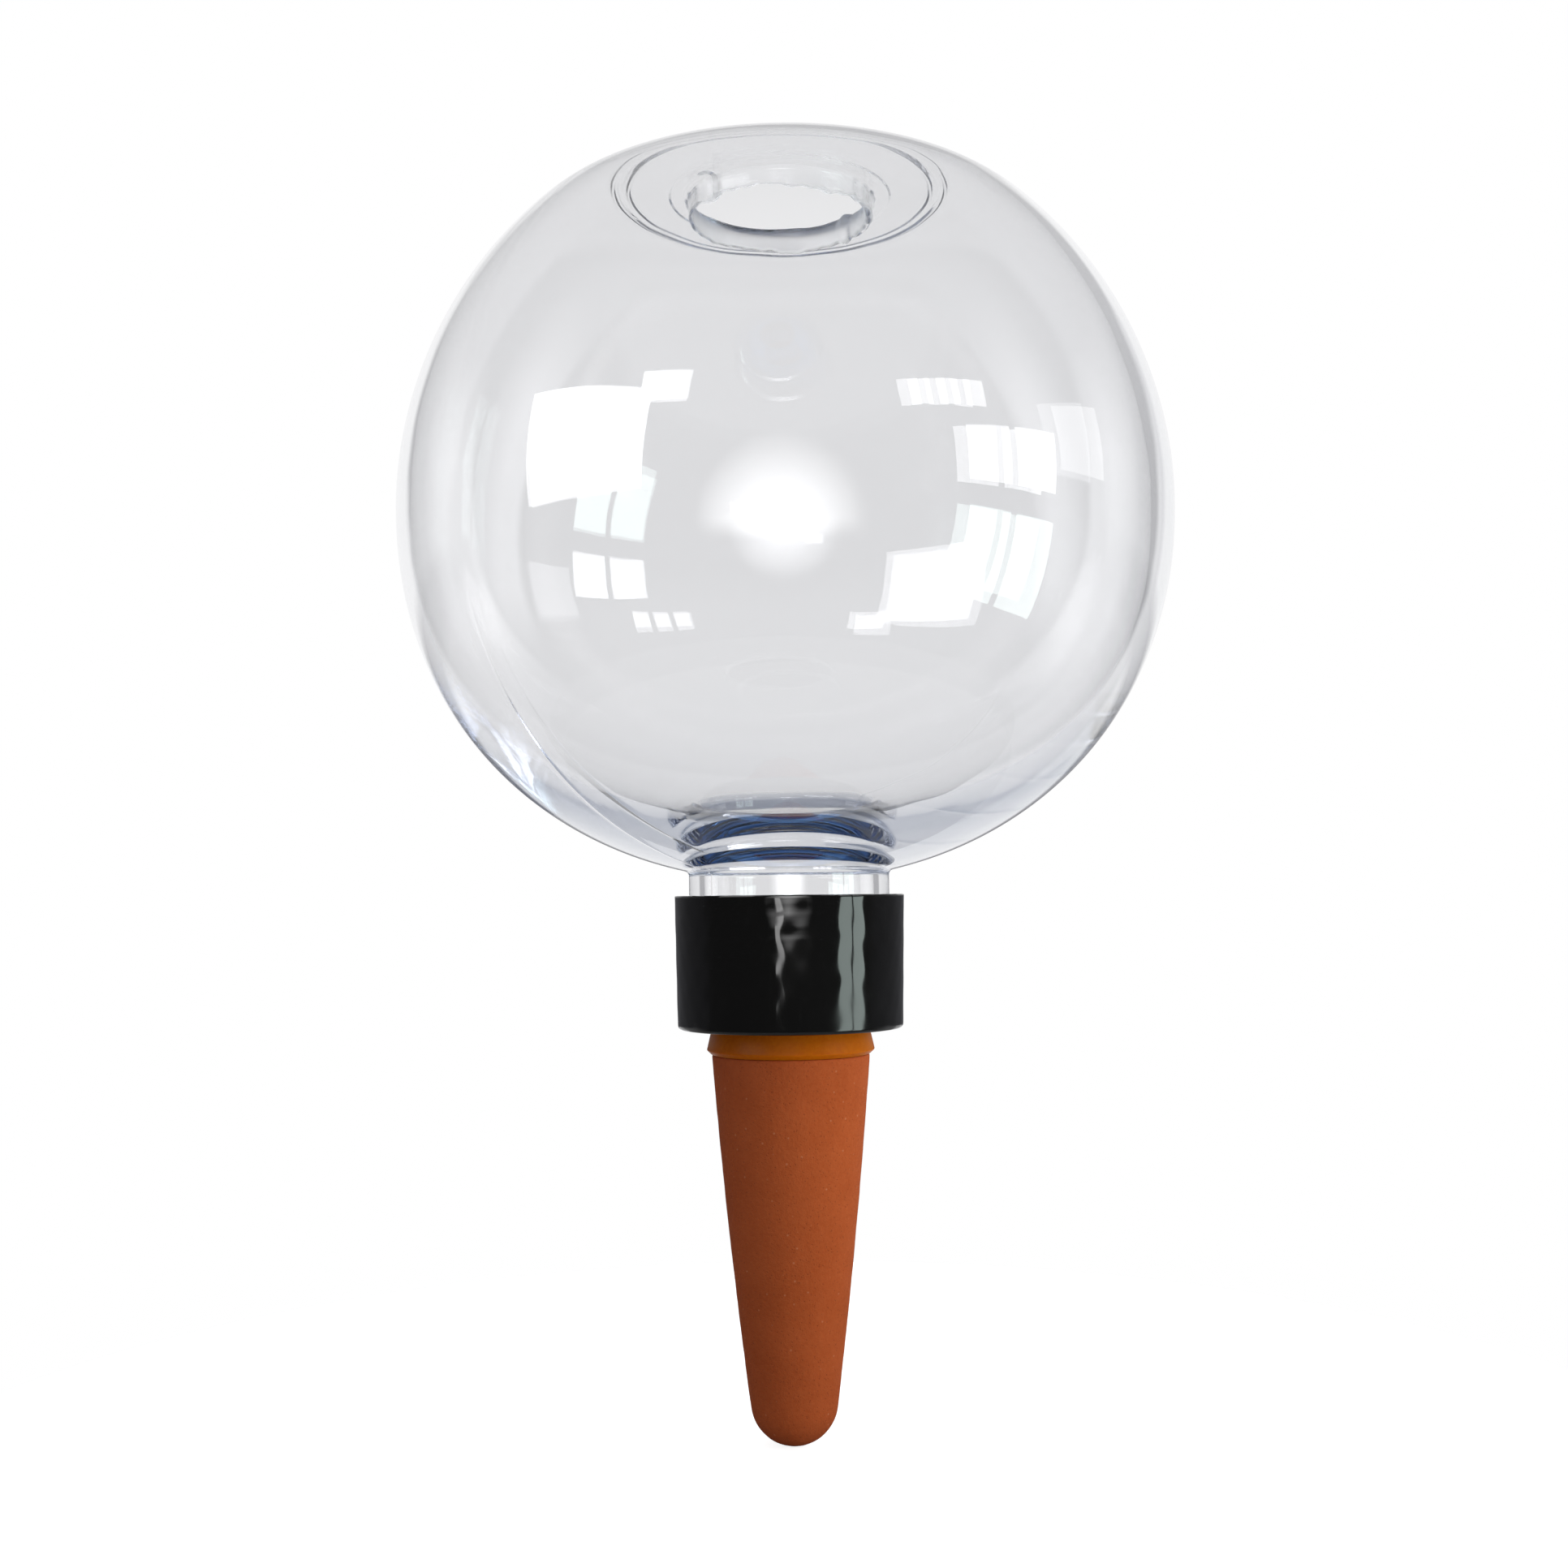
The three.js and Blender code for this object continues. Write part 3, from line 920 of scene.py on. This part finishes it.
def window(name, bearing, rise, panes, pane, radiance, colour=WHITE[:3], lights=True):
    """Lamps set as the panes of a window, facing the globe; bearing is right of the camera's side."""
    across, up = math.radians(bearing), math.radians(rise)
    outward = Vector((math.sin(across) * math.cos(up), -math.cos(across) * math.cos(up), math.sin(up)))
    turn = (-outward).to_track_quat("-Z", "Y")
    many, tall = panes
    for column in range(many):
        for row in range(tall):
            lamp = flat_lamp(f"{name}_{column}_{row}", pane, radiance)
            lamp.color = colour
            shift = Vector((
                (column - (many - 1) / 2) * (pane[0] + PANE_BAR),
                (row - (tall - 1) / 2) * (pane[1] + PANE_BAR),
                0,
            ))
            hang(lamp, GLOBE_CENTRE + outward * WINDOW_DISTANCE + turn @ shift, turn, diffuse=lights)


def soft_lamp():
    """A soft lamp just behind the camera, brightest at its height: the globe's walls mirror it as a glow."""
    lamp = flat_lamp("soft_lamp", GLOW_SIZE, GLOW_RADIANCE)
    lamp.use_nodes = True
    tree = lamp.node_tree
    place = add_node(tree, "NewGeometry").outputs["Parametric"]
    aside = vector_maths(tree, "SUBTRACT", place, GLOW_MIDDLE)
    aside = vector_maths(tree, "MULTIPLY", aside, (*GLOW_SIZE, 0))
    near = spread(tree, vector_maths(tree, "LENGTH", aside), GLOW_REACH)
    above_edge = spread(tree, add_node(tree, "SeparateXYZ", {"Vector": place}).outputs["Y"], GLOW_FADE)
    tree.links.new(maths(tree, "MULTIPLY", near, above_edge), tree.nodes["Emission"].inputs["Strength"])
    hang(lamp, GLOW_PLACE, GLOW_TURN, diffuse=False)


def neck_spot():
    """A narrow spot from above, which falls in through the filler hole and lights the washer in the neck."""
    lamp = bpy.data.lights.new("neck_spot", "SPOT")
    lamp.energy = SPOT_POWER
    lamp.spot_size = SPOT_ANGLE
    lamp.spot_blend = SPOT_BLEND
    hang(lamp, (0, 0, SPOT_HEIGHT), glossy=False)


# Floor under the tip of the stake
FLOOR_RADIUS = 0.12
FLOOR_SIDES = 96
FLOOR_COLOUR = (0.5, 0.5, 0.5, 1)
FLOOR_GLOW = 0.88


def pale_floor():
    """Round floor under the tip, white to the eye, that still takes the object's shadow."""
    shape = bmesh.new()
    bmesh.ops.create_circle(shape, cap_ends=True, segments=FLOOR_SIDES, radius=FLOOR_RADIUS)
    mesh = bpy.data.meshes.new("pale_floor")
    shape.to_mesh(mesh)
    shape.free()
    floor = bpy.data.objects.new("pale_floor", mesh)
    floor.location.z = STAKE_TIP
    scene.collection.objects.link(floor)
    finish, tree, shader = new_finish("pale_floor", {
        "Base Color": FLOOR_COLOUR, "Roughness": 1, "Specular IOR Level": 0, "Emission Color": WHITE,
    })
    rays = add_node(tree, "LightPath").outputs
    seen = maths(tree, "MAXIMUM", rays["Is Camera Ray"], rays["Is Transmission Ray"])
    straight = maths(tree, "LESS_THAN", rays["Glossy Depth"], 1.0)
    glow = maths(tree, "MULTIPLY", maths(tree, "MULTIPLY", seen, straight), FLOOR_GLOW)
    tree.links.new(glow, shader.inputs["Emission Strength"])
    mesh.materials.append(finish)


def camera():
    """Level camera at the height of the collar's top, with its frame moved up to take in the globe."""
    lens = bpy.data.cameras.new("camera")
    lens.sensor_width = CAMERA_SENSOR
    lens.lens = CAMERA_LENS
    lens.shift_y = CAMERA_RISE
    holder = bpy.data.objects.new("camera", lens)
    holder.location = CAMERA_PLACE
    holder.rotation_euler = (math.pi / 2, CAMERA_ROLL, 0)
    scene.collection.objects.link(holder)
    scene.camera = holder


white_room()
window("left_window", bearing=-56, rise=14.3, panes=(1, 1), pane=(0.58, 0.39), radiance=4, lights=False)
window("left_fanlight", bearing=-33, rise=26, panes=(1, 1), pane=(0.2, 0.12), radiance=4, lights=False)
window("right_window", bearing=64, rise=10.3, panes=(2, 1), pane=(0.21, 0.19), radiance=4)
window(
    "right_door", bearing=64, rise=-13.5, panes=(2, 1), pane=(0.21, 0.37), radiance=3.8, colour=DOOR_COLOUR,
)
window("right_fanlight", bearing=46, rise=24, panes=(3, 1), pane=(0.09, 0.1), radiance=4)
window("right_blind", bearing=89, rise=15.5, panes=(1, 1), pane=(0.28, 0.2), radiance=1.2)
window("rear_window", bearing=-10.6, rise=-6, panes=(1, 1), pane=(0.1, 0.06), radiance=4.3)
soft_lamp()
neck_spot()
pale_floor()
camera()

# Light crosses and mirrors in many clear walls before it leaves the globe
scene.cycles.max_bounces = 96
scene.cycles.glossy_bounces = 64
scene.cycles.transmission_bounces = 96
scene.view_settings.view_transform = "Standard"
